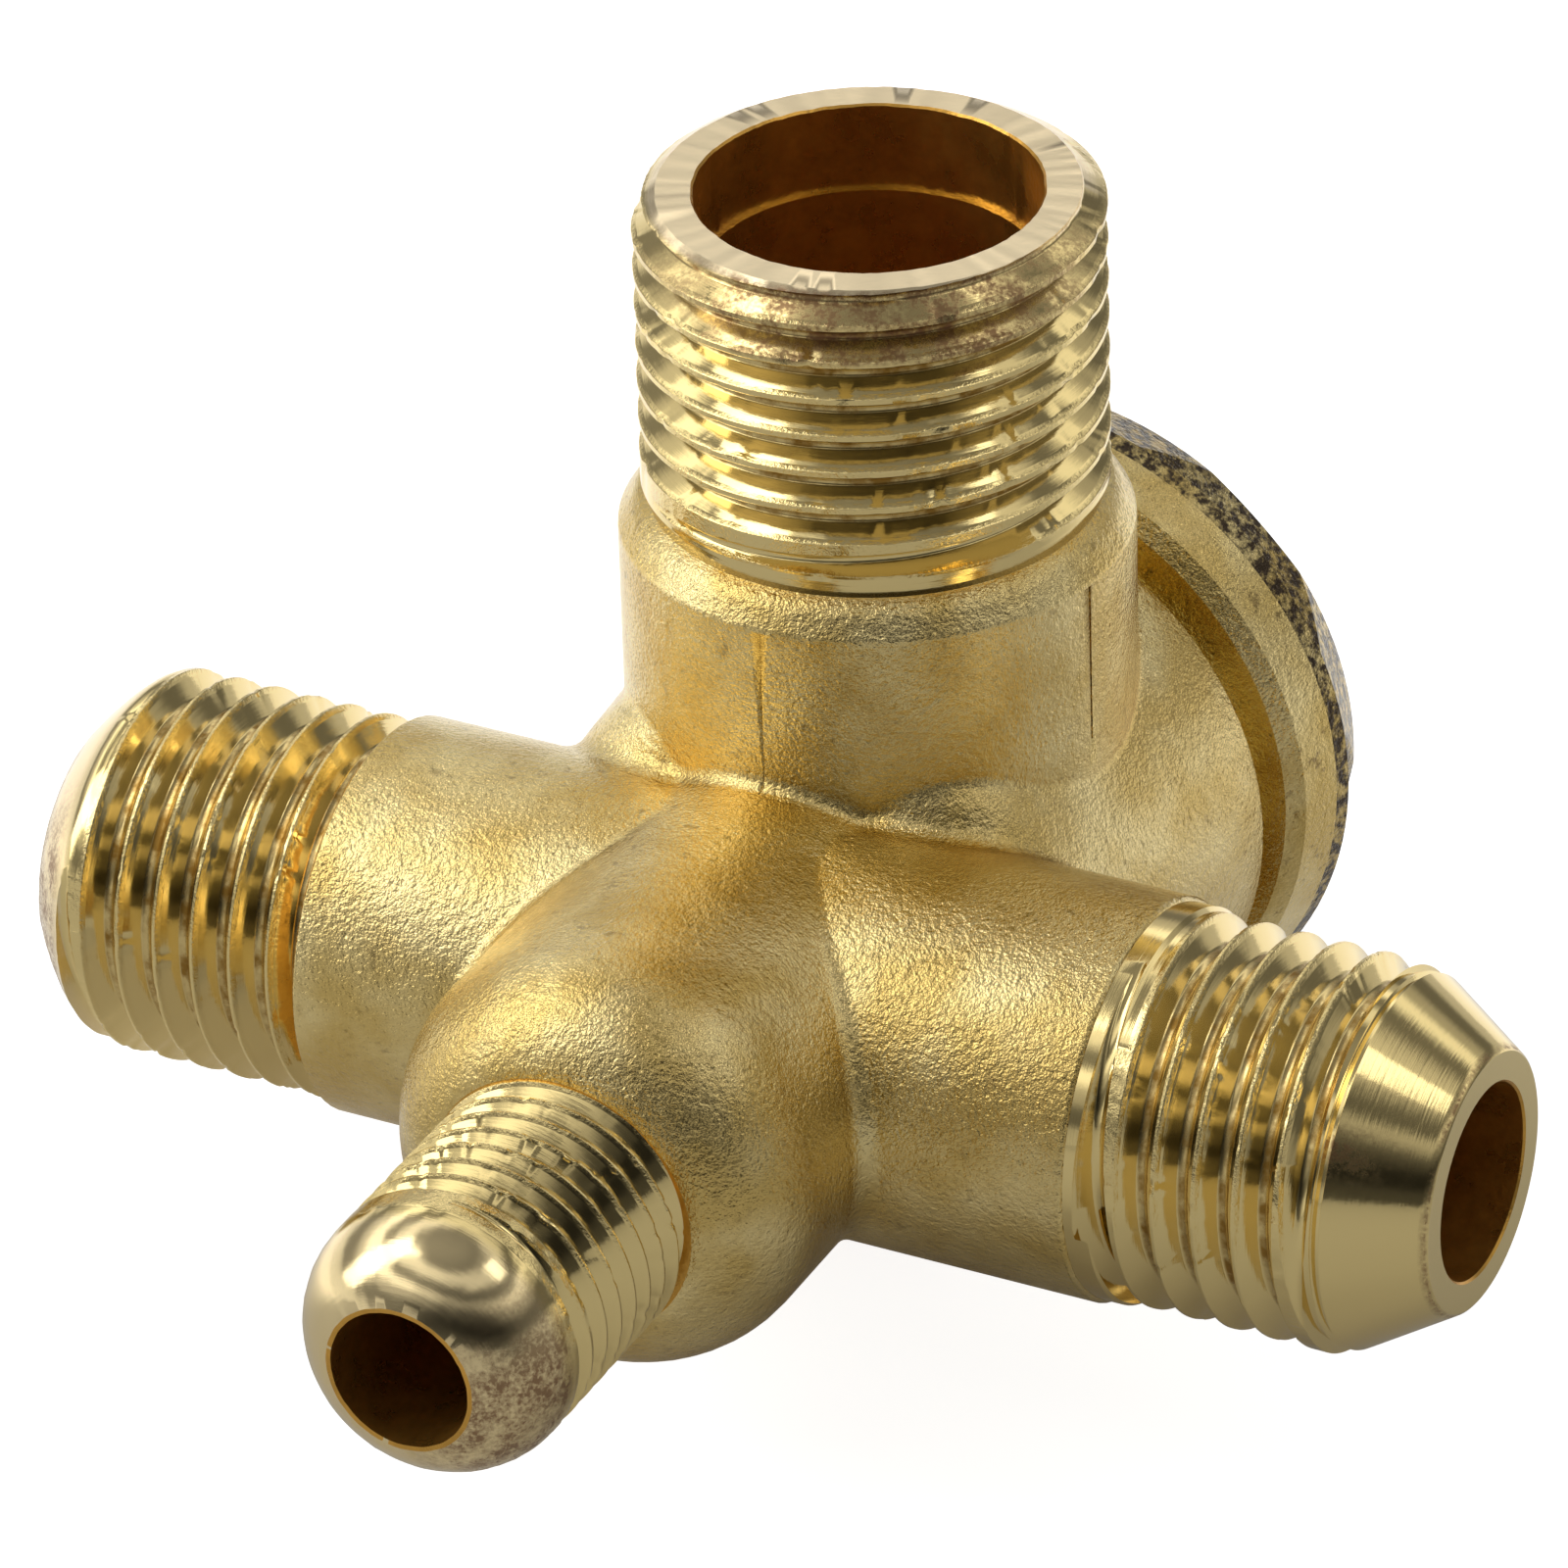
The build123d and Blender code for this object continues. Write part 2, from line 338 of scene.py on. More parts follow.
def thread_cutter(start, section, pitch, turns, fade_in, fade_out):
    """Right-handed groove cutter about X, rising out of the metal where it fades."""
    start *= MM
    cutter = draw_profile("thread_cutter", [(start + a, r) for a, r in section])
    apply_modifier(
        cutter, "SCREW", axis="X", angle=math.tau, screw_offset=pitch,
        iterations=math.ceil(turns), steps=ROUND, render_steps=ROUND,
        use_merge_vertices=True, merge_threshold=0.0005 * MM)
    count = len(section)
    verts = cutter.data.vertices
    rings = len(verts) // count
    lift = (section[-1][1] - section[count // 2][1]) * FADE_LIFT
    for ring in range(rings):
        rise = lift * fade(ring / ROUND, turns, fade_in, fade_out)
        for i in range(ring * count, ring * count + count):
            co = verts[i].co
            radius = math.hypot(co.y, co.z)
            co.y *= 1 + rise / radius
            co.z *= 1 + rise / radius
    for first in (0, (rings - 1) * count):
        select_vertices(cutter, range(first, first + count))
        bpy.ops.mesh.edge_face_add()
        bpy.ops.object.mode_set(mode="OBJECT")
    tidy_mesh(cutter, 0.0002 * MM)
    return cutter


def cut_away(piece, cutter):
    """Take a closed cutter out of a closed piece."""
    apply_modifier(piece, "BOOLEAN", operation="DIFFERENCE", solver="EXACT", object=cutter)
    mesh = cutter.data
    bpy.data.objects.remove(cutter)
    bpy.data.meshes.remove(mesh)


def in_place(piece, port):
    """Move a finished piece's mesh, drawn along X, onto its port."""
    foot, angle, axis = PORT_TURNS[port]
    piece.data.transform(Matrix.Translation(foot) @ Matrix.Rotation(angle, 4, axis))
    piece.data.update()


def float_attribute(piece, name, values):
    """Store one number per vertex for the materials."""
    layer = piece.data.attributes.new(name, "FLOAT", "POINT")
    layer.data.foreach_set("value", values)


def outline_radius(points, station):
    """Outer radius of a turned profile at a station."""
    best = 0.0
    for (s0, r0), (s1, r1) in zip(points, points[1:]):
        low, high = min(s0, s1), max(s0, s1)
        if low - 1e-7 <= station <= high + 1e-7:
            share = 0.5 if high - low < 1e-9 else (station - s0) / (s1 - s0)
            best = max(best, r0 + (r1 - r0) * share)
    return best


def wear(piece, depths, seed, rough_from, battering):
    """Soft waviness, nicked crests, and a battered end past a station, in millimetres."""
    offset = Vector((seed * 13.7, seed * 5.1, seed * 9.3))
    for vert, depth in zip(piece.data.vertices, depths):
        at = vert.co / MM
        push = WAVINESS * noise.noise(at / WAVE_LENGTH + offset)
        if depth < CREST_SHARE:
            push -= NICK * max(0.0, noise.noise(at / NICK_LENGTH + offset) - NICK_FROM)
        if at.x > rough_from:
            battered = noise.noise_vector(at / BATTERED_LENGTH + offset)
            push -= BATTERED_SIDE * battering * abs(battered.y)
            vert.co.x -= BATTERED_END * battering * abs(battered.x) * MM
        radius = math.hypot(at.y, at.z)
        vert.co.y *= 1 + push / radius
        vert.co.z *= 1 + push / radius


def stain_and_reflection_at(stains_and_reflection, station, angle):
    """Share of staining and painted dark reflection at a spot: each entry is (low, high,
    middle, half width in degrees).
    """
    most = 0.0
    for low, high, middle, half in stains_and_reflection:
        if low <= station <= high:
            away = abs((angle - middle + 180) % 360 - 180)
            level = STAIN_SLOPE - STAIN_SLOPE * away / half
            most = max(most, min(1.0, max(0.0, level)))
    return most


class PortEnd(NamedTuple):
    """A port's turned end, in millimetres along the port and degrees about it."""

    profile: list  # (station, radius) round the section, from the inner foot
    bore_r: float
    threaded: tuple  # stations between which the thread runs
    seed: int  # of the wear
    stains_and_reflection: list  # (low, high, middle angle, half width in degrees)
    worn_highlit_from: float  # station past which the plating is worn pale, with a painted highlight
    worn_highlit_level: float


def turned_port(port, end, groove, finishes):
    """One port's turned end: spun blank, helical grooves, wear and finishes."""
    profile = [(s * MM, r * MM) for s, r in end.profile]
    piece = turned_ring(port + "_end", profile)
    cut_away(piece, groove)
    wall = (end.bore_r + WALL_SLACK) * MM
    groove_depth, station, stain_and_reflection, worn_and_highlit = [], [], [], []
    for vert in piece.data.vertices:
        radius = math.hypot(vert.co.y, vert.co.z)
        full = outline_radius(profile, vert.co.x)
        along = vert.co.x / MM
        deep = 0.0 if radius < wall else max(0.0, full - radius)
        groove_depth.append(deep / MM)
        station.append(along)
        angle = math.degrees(math.atan2(vert.co.z, vert.co.y))
        stain_and_reflection.append(stain_and_reflection_at(end.stains_and_reflection, along, angle))
        # Paler past a station near the end: worn plating, and a painted highlight
        worn_and_highlit.append(end.worn_highlit_level if along > end.worn_highlit_from else 0.0)
    deepest = max(groove_depth)
    low, high = end.threaded
    groove_depth = [deep / deepest if low < along < high else 0.5
                    for deep, along in zip(groove_depth, station)]
    float_attribute(piece, "groove", groove_depth)
    float_attribute(piece, "station", station)
    float_attribute(piece, "stain_and_reflection", stain_and_reflection)
    float_attribute(piece, "pale", worn_and_highlit)
    wear(piece, groove_depth, end.seed, end.worn_highlit_from - 0.4, end.worn_highlit_level)
    for finish in finishes:
        piece.data.materials.append(finish)
    for face in piece.data.polygons:
        out = Vector((0, face.center.y, face.center.z))
        inside = out.length < wall and face.normal.dot(out) < 0
        face.material_index = 1 if inside else 0
    in_place(piece, port)
    select_only(piece)
    bpy.ops.object.shade_smooth_by_angle(angle=math.radians(28))
    return piece


def closed_copy(cad_name, name):
    """Merged copy of a CAD node's mesh, free of its stored normals."""
    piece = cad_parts[cad_name].copy()
    piece.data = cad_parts[cad_name].data.copy()
    piece.name = name
    piece.parent = None
    for key in list(piece.keys()):
        del piece[key]
    bpy.context.scene.collection.objects.link(piece)
    piece.hide_render = False
    piece.hide_viewport = False
    select_only(piece)
    bpy.ops.object.mode_set(mode="EDIT")
    bpy.ops.mesh.select_all(action="SELECT")
    bpy.ops.mesh.remove_doubles(threshold=0.001 * MM)
    bpy.ops.object.mode_set(mode="OBJECT")
    bpy.ops.mesh.customdata_custom_splitnormals_clear()
    piece.data.materials.clear()
    return piece


def cut_block(low, high):
    """Box cutter between two corners, in metres."""
    low, high = Vector(low), Vector(high)
    bpy.ops.object.select_all(action="DESELECT")
    bpy.ops.mesh.primitive_cube_add(size=1.0, location=(low + high) / 2)
    block = bpy.context.object
    block.scale = high - low
    bpy.ops.object.transform_apply(location=True, rotation=True, scale=True)
    return block


def crease_block(heading, radius, width, depth, top, foot):
    """Thin upright wedge that cuts a crease in the tank collar, in millimetres."""
    low = Vector((radius - depth, -width / 2, foot))
    high = Vector((radius + 0.6, width / 2, top))
    block = cut_block(low * MM, high * MM)
    for vert in block.data.vertices:
        if vert.co.x < radius * MM:
            vert.co.y *= 0.15
    block.data.transform(Matrix.Rotation(math.radians(heading), 4, "Z"))
    return block


# Materials


def new_material(name):
    """Empty node material with its shader and output."""
    material = bpy.data.materials.new(name)
    material.use_nodes = True
    tree = material.node_tree
    shader = tree.nodes["Principled BSDF"]
    return material, tree, shader


def node(tree, kind, **values):
    """Add a shader node; a value names an input socket or a property."""
    made = tree.nodes.new(kind)
    for key, value in values.items():
        label = key.replace("_", " ")
        if label in made.inputs:
            made.inputs[label].default_value = value
        else:
            setattr(made, key, value)
    return made


def in_millimetres(tree):
    """Object coordinates in millimetres."""
    place = node(tree, "ShaderNodeTexCoord")
    mapping = node(tree, "ShaderNodeMapping")
    mapping.inputs["Scale"].default_value = (1 / MM, 1 / MM, 1 / MM)
    tree.links.new(place.outputs["Object"], mapping.inputs["Vector"])
    return mapping.outputs["Vector"]


def noise_at(tree, vector, scale, detail=2.0, rough=0.5):
    """Noise value at a scale per millimetre."""
    made = node(tree, "ShaderNodeTexNoise", Scale=scale, Detail=detail, Roughness=rough)
    tree.links.new(vector, made.inputs["Vector"])
    return made.outputs["Fac"]


def ramp(tree, value, stops):
    """Map a value through (position, grey level) stops."""
    made = node(tree, "ShaderNodeValToRGB")
    elements = made.color_ramp.elements
    while len(elements) < len(stops):
        elements.new(0.5)
    for element, (at, level) in zip(elements, stops):
        element.position = at
        element.color = (level, level, level, 1.0)
    tree.links.new(value, made.inputs["Fac"])
    return made.outputs["Color"]


def along_axis(tree, vector, axis, length):
    """Place along a direction as a share of a length, 0.5 at the middle."""
    made = node(tree, "ShaderNodeVectorMath", operation="DOT_PRODUCT")
    made.inputs[1].default_value = [v / length for v in axis]
    tree.links.new(vector, made.inputs[0])
    return maths(tree, "ADD", made.outputs["Value"], 0.5)


def maths(tree, operation, a, b):
    """One arithmetic node on two values or sockets."""
    made = node(tree, "ShaderNodeMath", operation=operation)
    for socket, value in zip(made.inputs, (a, b)):
        if isinstance(value, (int, float)):
            socket.default_value = value
        else:
            tree.links.new(value, socket)
    return made.outputs[0]


def mixed(tree, share, first, second, blend="MIX"):
    """Mix two colours by a share."""
    made = node(tree, "ShaderNodeMix", data_type="RGBA", blend_type=blend)
    for index, value in ((0, share), (6, first), (7, second)):
        socket = made.inputs[index]
        if isinstance(value, bpy.types.NodeSocket):
            tree.links.new(value, socket)
        elif isinstance(value, (int, float)):
            socket.default_value = value
        else:
            socket.default_value = (*value[:3], 1.0)
    return made.outputs[2]


def bumped(tree, height, distance, strength=1.0, before=None):
    """Bump from a height, over an earlier bump."""
    made = node(tree, "ShaderNodeBump", Strength=strength, Distance=distance)
    tree.links.new(height, made.inputs["Height"])
    if before is not None:
        tree.links.new(before, made.inputs["Normal"])
    return made.outputs["Normal"]


def stamped_brass(name, colour, pit_colour, speckle=0.0, flecks_and_shade_behind=None):
    """Plated skin of a grit-blasted stamping: sparkling grain, pits and soft clouding."""
    material, tree, shader = new_material(name)
    at = in_millimetres(tree)
    cloud = noise_at(tree, at, scale=0.22, detail=3.0)
    grain = noise_at(tree, at, scale=3.2, detail=2.5, rough=0.55)
    spark = noise_at(tree, at, scale=8.0, detail=2.0, rough=0.6)
    pits = node(tree, "ShaderNodeTexVoronoi", Scale=2.2)
    tree.links.new(at, pits.inputs["Vector"])
    pit = ramp(tree, pits.outputs["Distance"], [(0.0, 0.0), (0.30, 1.0)])
    blots = noise_at(tree, at, scale=1.3, detail=4.0, rough=0.65)
    spots = ramp(tree, blots, [(0.60, 0.0), (0.70, 1.0)])
    soft = ramp(tree, cloud, [(0.38, 0.0), (0.62, 1.0)])
    deep = (0.80 * colour[0], 0.72 * colour[1], 0.52 * colour[2])
    skin = mixed(tree, soft, deep, colour)
    skin = mixed(tree, maths(tree, "MULTIPLY", spots, 0.40 + speckle), skin, pit_colour)
    # Past a station on Y the skin darkens: dark flecks, and painted shade on the cap's hex
    # flats
    if flecks_and_shade_behind is not None:
        split = node(tree, "ShaderNodeSeparateXYZ")
        tree.links.new(at, split.inputs["Vector"])
        behind = maths(tree, "GREATER_THAN", split.outputs["Y"], flecks_and_shade_behind)
        patches = noise_at(tree, at, scale=1.9, detail=3.0, rough=0.7)
        fleck_and_shade = ramp(tree, patches, [(0.44, 1.0), (0.62, 0.2)])
        skin = mixed(tree, maths(tree, "MULTIPLY", behind, fleck_and_shade), skin, DARK_FLECKS_AND_SHADE)
    tree.links.new(skin, shader.inputs["Base Color"])
    shader.inputs["Metallic"].default_value = 1.0
    rough = ramp(tree, spark, [(0.3, 0.08), (0.7, 0.20)])
    tree.links.new(rough, shader.inputs["Roughness"])
    normal = bumped(tree, grain, 0.08 * MM)
    normal = bumped(tree, spark, 0.055 * MM, 0.9, normal)
    normal = bumped(tree, pit, 0.03 * MM, 0.8, normal)
    tree.links.new(normal, shader.inputs["Normal"])
    return material


def turned_brass(name, colour, root_colour):
    """Bright plated thread: tool lines, torn crests, tarnish in the roots, brown staining, and
    a painted dark reflection.
    """
    material, tree, shader = new_material(name)
    at = in_millimetres(tree)
    groove = node(tree, "ShaderNodeAttribute", attribute_name="groove").outputs["Fac"]
    station = node(tree, "ShaderNodeAttribute", attribute_name="station").outputs["Fac"]
    stain_and_reflection = node(tree, "ShaderNodeAttribute", attribute_name="stain_and_reflection").outputs["Fac"]
    pale = node(tree, "ShaderNodeAttribute", attribute_name="pale").outputs["Fac"]
    blotch = noise_at(tree, at, scale=0.8, detail=4.0, rough=0.6)
    fine = noise_at(tree, at, scale=4.5, detail=3.0, rough=0.65)
    low = ramp(tree, groove, [(0.935, 0.0), (0.975, 1.0)])
    dirty = ramp(tree, blotch, [(0.40, 0.25), (0.62, 1.0)])
    tarnish = maths(tree, "MULTIPLY", low, dirty)
    blot = ramp(tree, maths(tree, "MULTIPLY", blotch, fine), [(0.15, 0.0), (0.33, 1.0)])
    marked = maths(tree, "MULTIPLY", stain_and_reflection, blot)
    # Paler skin past a station: worn plating, and a painted highlight
    skin = mixed(tree, maths(tree, "MULTIPLY", pale, 0.75), colour, PALE_WEAR_AND_HIGHLIGHT)
    skin = mixed(tree, tarnish, skin, root_colour)
    # Brown staining, and on the right cone a painted dark reflection
    skin = mixed(tree, maths(tree, "MULTIPLY", marked, 0.85), skin, STAIN_AND_REFLECTION_BROWN)
    tree.links.new(skin, shader.inputs["Base Color"])
    shader.inputs["Metallic"].default_value = 1.0
    worn = maths(tree, "MAXIMUM", tarnish, marked)
    rough = ramp(tree, maths(tree, "MAXIMUM", worn, maths(tree, "MULTIPLY", pale, 0.35)),
                 [(0.0, 0.10), (1.0, 0.40)])
    tree.links.new(rough, shader.inputs["Roughness"])
    lines = node(tree, "ShaderNodeCombineXYZ")
    tree.links.new(station, lines.inputs["X"])
    drift = maths(tree, "MULTIPLY", blotch, 0.15)
    tree.links.new(drift, lines.inputs["Y"])
    tool = noise_at(tree, lines.outputs["Vector"], scale=7.0, detail=4.0, rough=0.65)
    crest = ramp(tree, groove, [(0.02, 1.0), (0.22, 0.0)])
    torn = maths(tree, "MULTIPLY", crest, fine)
    normal = bumped(tree, tool, 0.006 * MM)
    normal = bumped(tree, torn, 0.045 * MM, 0.8, normal)
    normal = bumped(tree, noise_at(tree, at, scale=1.3, detail=3.0), 0.006 * MM, 0.7, normal)
    tree.links.new(normal, shader.inputs["Normal"])
    return material


def bored_brass(name, colour):
    """Drilled brass, warm brown and softly uneven."""
    material, tree, shader = new_material(name)
    at = in_millimetres(tree)
    cloud = noise_at(tree, at, scale=0.5, detail=4.0, rough=0.6)
    soft = ramp(tree, cloud, [(0.35, 0.0), (0.7, 1.0)])
    skin = mixed(tree, soft, tuple(0.75 * c for c in colour), colour)
    tree.links.new(skin, shader.inputs["Base Color"])
    shader.inputs["Metallic"].default_value = 0.9
    rough = ramp(tree, cloud, [(0.3, 0.24), (0.7, 0.36)])
    tree.links.new(rough, shader.inputs["Roughness"])
    normal = bumped(tree, noise_at(tree, at, scale=3.0, detail=3.0), 0.03 * MM)
    tree.links.new(normal, shader.inputs["Normal"])
    return material


def soft_rubber(name):
    """Matt moulded rubber with a faint bloom."""
    material, tree, shader = new_material(name)
    at = in_millimetres(tree)
    bloom = ramp(tree, noise_at(tree, at, scale=1.2, detail=4.0), [(0.3, 0.0), (0.8, 1.0)])
    skin = mixed(tree, bloom, (0.012, 0.012, 0.012), (0.035, 0.034, 0.032))
    tree.links.new(skin, shader.inputs["Base Color"])
    shader.inputs["Roughness"].default_value = 0.7
    normal = bumped(tree, noise_at(tree, at, scale=9.0, detail=2.0), 0.01 * MM)
    tree.links.new(normal, shader.inputs["Normal"])
    return material


def drawn_wire(name):
    """Stainless spring wire with faint drawing marks."""
    material, tree, shader = new_material(name)
    at = in_millimetres(tree)
    marks = noise_at(tree, at, scale=5.0, detail=3.0, rough=0.6)
    skin = mixed(tree, marks, (0.42, 0.42, 0.41), (0.60, 0.60, 0.58))
    tree.links.new(skin, shader.inputs["Base Color"])
    shader.inputs["Metallic"].default_value = 1.0
    rough = ramp(tree, marks, [(0.3, 0.2), (0.7, 0.34)])
    tree.links.new(rough, shader.inputs["Roughness"])
    normal = bumped(tree, marks, 0.004 * MM)
    tree.links.new(normal, shader.inputs["Normal"])
    return material


# Body


def trimmed_body():
    """Copy of the CAD body without its plain thread ends, creased at the collar."""
    body = closed_copy("valve_body", "dressed_body")
    all_low, all_high = (-FAR, -FAR, -FAR), (FAR, FAR, FAR)
    cut_away(body, cut_block((RIGHT_TRIM, -FAR, -FAR), all_high))
    cut_away(body, cut_block(all_low, (LEFT_TRIM, FAR, FAR)))
    cut_away(body, cut_block(all_low, (FAR, FRONT_TRIM, FAR)))
    cut_away(body, cut_block((-FAR, -FAR, TANK_TRIM), all_high))
    for heading, width, depth, foot in COLLAR_CREASES:
        cut_away(body, crease_block(heading, COLLAR_R, width, depth, COLLAR_TOP, foot))
    return body


def on_bore(centre):
    """Whether a face of the body, by its centre in millimetres, is on a drilled wall."""
    tank = math.hypot(centre.x, centre.y)
    run = math.hypot(centre.y - CROSSING_Y, centre.z - CROSSING_Z)
    valve = math.hypot(centre.x, centre.z - CROSSING_Z)
    in_chamber = valve < CHAMBER_WALL_R and centre.y > CHAMBER_FLOOR_Y
    return tank < TANK_WALL_R or run < BORE_WALL_R or valve < BORE_WALL_R or in_chamber


def dressed_skin(body, cast, bore):
    """Cast skin outside, drilled skin in the bores, and soft shading."""
    body.data.materials.append(cast)
    body.data.materials.append(bore)
    for face in body.data.polygons:
        face.material_index = 1 if on_bore(face.center / MM) else 0
    apply_modifier(body, "WEIGHTED_NORMAL", keep_sharp=True, weight=60)
    select_only(body)
    bpy.ops.object.shade_smooth_by_angle(angle=math.radians(35))


def tank_end(sizes, finishes):
    """Pipe thread with a battered rim and a short counterbore."""
    section = thread_section(
        sizes.pitch, sizes.crest_d / 2, sizes.depth, flank=27.5, land=0.30 * MM)
    groove = thread_cutter(-0.3, section, sizes.pitch, turns=9.0, fade_in=0.5, fade_out=0.0)
    end = PortEnd(
        profile=[
            (-1.5, TANK_BORE_R), (-1.5, 10.15), (-0.75, 10.15), (-0.6, TANK_CREST_R),
            (12.75, TANK_CREST_R), (13.25, 9.65), (13.4, 9.4), (13.4, 7.85),
            (13.3, TANK_COUNTERBORE_R), (9.2, TANK_COUNTERBORE_R), (9.2, TANK_BORE_R)],
        bore_r=TANK_COUNTERBORE_R, threaded=(-0.5, 13.1), seed=1,
        stains_and_reflection=[(10.2, 13.3, -150.0, 90.0)], worn_highlit_from=13.2, worn_highlit_level=1.0)
    return turned_port("tank", end, groove, finishes)


def run_section(sizes):
    """Groove section of both threads on the run."""
    return thread_section(
        sizes.pitch, sizes.crest_d / 2, sizes.depth, flank=30.0, land=0.18 * MM)


def right_end(sizes, finishes):
    """Thread, two narrow grooves and the sealing cone."""
    groove = thread_cutter(
        20.4, run_section(sizes), sizes.pitch, turns=5.4, fade_in=0.35, fade_out=0.25)
    end = PortEnd(
        profile=[
            (19.6, RUN_BORE_R), (19.6, 8.95), (20.7, 8.95), (20.9, RUN_CREST_R),
            (30.5, RUN_CREST_R),
            (30.7, 8.25), (30.95, 8.2), (31.1, 8.4), (31.25, 8.2), (31.4, 8.2),
            (31.5, 8.4), (31.75, 8.25), (35.1, 6.17), (35.4, 5.98), (35.5, 5.85),
            (35.5, 4.55), (35.4, RUN_BORE_R)],
        bore_r=RUN_BORE_R, threaded=(20.9, 30.5), seed=2,
        # First entry: a painted dark reflection down the cone's near side, blotched like
        # staining; second: a brown stain round the tip's rim
        stains_and_reflection=[(31.3, 35.0, 147.0, 11.0), (35.3, 35.45, 0.0, 400.0)],
        worn_highlit_from=99.0, worn_highlit_level=0.0)
    return turned_port("right", end, groove, finishes)


def left_end(sizes, finishes):
    """Thread run out to the stamping, and a rounded tip."""
    groove = thread_cutter(
        17.3, run_section(sizes), sizes.pitch, turns=6.9, fade_in=0.0, fade_out=0.25)
    end = PortEnd(
        profile=[
            (18.3, RUN_BORE_R), (18.3, RUN_CREST_R), (30.1, RUN_CREST_R), (30.6, 8.55),
            (31.3, 7.95), (32.2, 7.0), (32.9, 6.15), (33.15, 5.6), (33.2, 4.55),
            (33.1, RUN_BORE_R)],
        bore_r=RUN_BORE_R, threaded=(18.2, 30.1), seed=3,
        stains_and_reflection=[(31.0, 33.3, 0.0, 60.0)], worn_highlit_from=30.5, worn_highlit_level=0.6)
    return turned_port("left", end, groove, finishes)


def front_end(sizes, finishes):
    """Fine thread and a ball nose, whose round is an arc about its own centre."""
    section = thread_section(
        sizes.pitch, sizes.crest_d / 2, sizes.depth, flank=27.5, land=0.16 * MM)
    groove = thread_cutter(17.6, section, sizes.pitch, turns=8.1, fade_in=0.2, fade_out=0.4)
    foot, centre_r, ball_r = 28.8, 1.8, 4.5
    profile = [(17.0, FRONT_BORE_R), (17.0, FRONT_CREST_R), (foot, centre_r + ball_r)]
    for i in range(1, 13):
        angle = math.radians(i * 7.5)
        radius = centre_r + ball_r * math.cos(angle)
        if radius > FRONT_BORE_R + 0.12:
            profile.append((foot + ball_r * math.sin(angle), radius))
    profile.append((32.95, FRONT_BORE_R))
    end = PortEnd(
        profile=profile, bore_r=FRONT_BORE_R, threaded=(17.0, 28.9), seed=4,
        stains_and_reflection=[(29.2, 33.4, -20.0, 75.0)], worn_highlit_from=29.6, worn_highlit_level=0.5)
    return turned_port("front", end, groove, finishes)


class VALVE_OT_body(bpy.types.Operator):
    """Dress the stamped body: cast skin, four threaded ports and their bores"""

    bl_idname = "valve.body"
    bl_label = "Valve body"

    def execute(self, context):
        scene = context.scene
        colours = scene.finish_colours
        cast = stamped_brass("stamped_brass", colours.cast, BODY_PITS)
        turned = turned_brass("turned_brass", colours.turned, colours.root)
        bore = bored_brass("bored_brass", colours.bore)
        body = trimmed_body()
        dressed_skin(body, cast, bore)
        finishes = (turned, bore)
        ends = (
            tank_end(scene.tank_thread, finishes),
            right_end(scene.run_thread, finishes),
            left_end(scene.run_thread, finishes),
            front_end(scene.front_thread, finishes),
        )
        select_only(body)
        for piece in ends:
            piece.select_set(True)
        bpy.ops.object.join()
        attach(body, "housing")
        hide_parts("valve_body")
        return {"FINISHED"}


# Cap, washer and shuttle


class VALVE_OT_cap(bpy.types.Operator):
    """Finish the hexagon cap and its washer"""

    bl_idname = "valve.cap"
    bl_label = "Cap and washer"

    def execute(self, context):
        colours = context.scene.finish_colours
        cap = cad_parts["end_cap"]
        cap.data.materials.clear()
        cap.data.materials.append(
            stamped_brass("cap_brass", colours.cast, CAP_PITS, 0.2, CAP_FLECKS_AND_SHADE_FROM))
        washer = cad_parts["cap_washer"]
        washer.data.materials.clear()
        washer.data.materials.append(
            stamped_brass("washer_brass", colours.washer, WASHER_PITS))
        return {"FINISHED"}


def wound_coil(low, high, spring):
    """Coil with closed ends along Y between two corners, as a mesh."""
    wire = spring.wire_d / 2
    start, end = low.y + wire, high.y - wire
    centre = (low + high) / 2
    bpy.ops.object.select_all(action="DESELECT")
    curve = bpy.data.curves.new("poppet_coil", "CURVE")
    curve.dimensions = "3D"
    count = int(spring.turns * COIL_STEPS)
    line = curve.splines.new("NURBS")
    line.points.add(count - 1)
    for i in range(count):
        share = i / (count - 1)
        eased = 0.5 - 0.5 * math.cos(math.pi * min(1, max(0, (share - 0.1) / 0.8)))
        along = start + (end - start) * (0.5 * share + 0.5 * eased)
        angle = math.tau * i / COIL_STEPS
        line.points[i].co = (
            centre.x + spring.mean_d / 2 * math.cos(angle), along,
            centre.z + spring.mean_d / 2 * math.sin(angle), 1)
    line.use_endpoint_u = True
    line.order_u = 4
    curve.bevel_depth = wire * 0.98
    curve.bevel_resolution = 3
    curve.use_fill_caps = True
    coil = bpy.data.objects.new("poppet_coil", curve)
    bpy.context.scene.collection.objects.link(coil)
    select_only(coil)
    bpy.ops.object.convert(target="MESH")
    coil = bpy.context.object
    bpy.ops.object.shade_smooth_by_angle(angle=math.radians(40))
    return coil


class VALVE_OT_shuttle(bpy.types.Operator):
    """Finish the poppet with its rubber disc, and wind the spring"""

    bl_idname = "valve.shuttle"
    bl_label = "Poppet, disc and spring"

    def execute(self, context):
        scene = context.scene
        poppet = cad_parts["poppet"]
        poppet.data.materials.clear()
        poppet.data.materials.append(
            stamped_brass("poppet_brass", scene.finish_colours.turned, POPPET_PITS))
        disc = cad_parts["seal_disc"]
        disc.data.materials.clear()
        disc.data.materials.append(soft_rubber("seal_rubber"))
        low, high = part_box("poppet_spring")
        coil = wound_coil(low, high, scene.poppet_spring)
        coil.data.materials.append(drawn_wire("spring_wire"))
        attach(coil, "housing")
        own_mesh(coil)
        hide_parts("poppet_spring")
        return {"FINISHED"}


# Stage


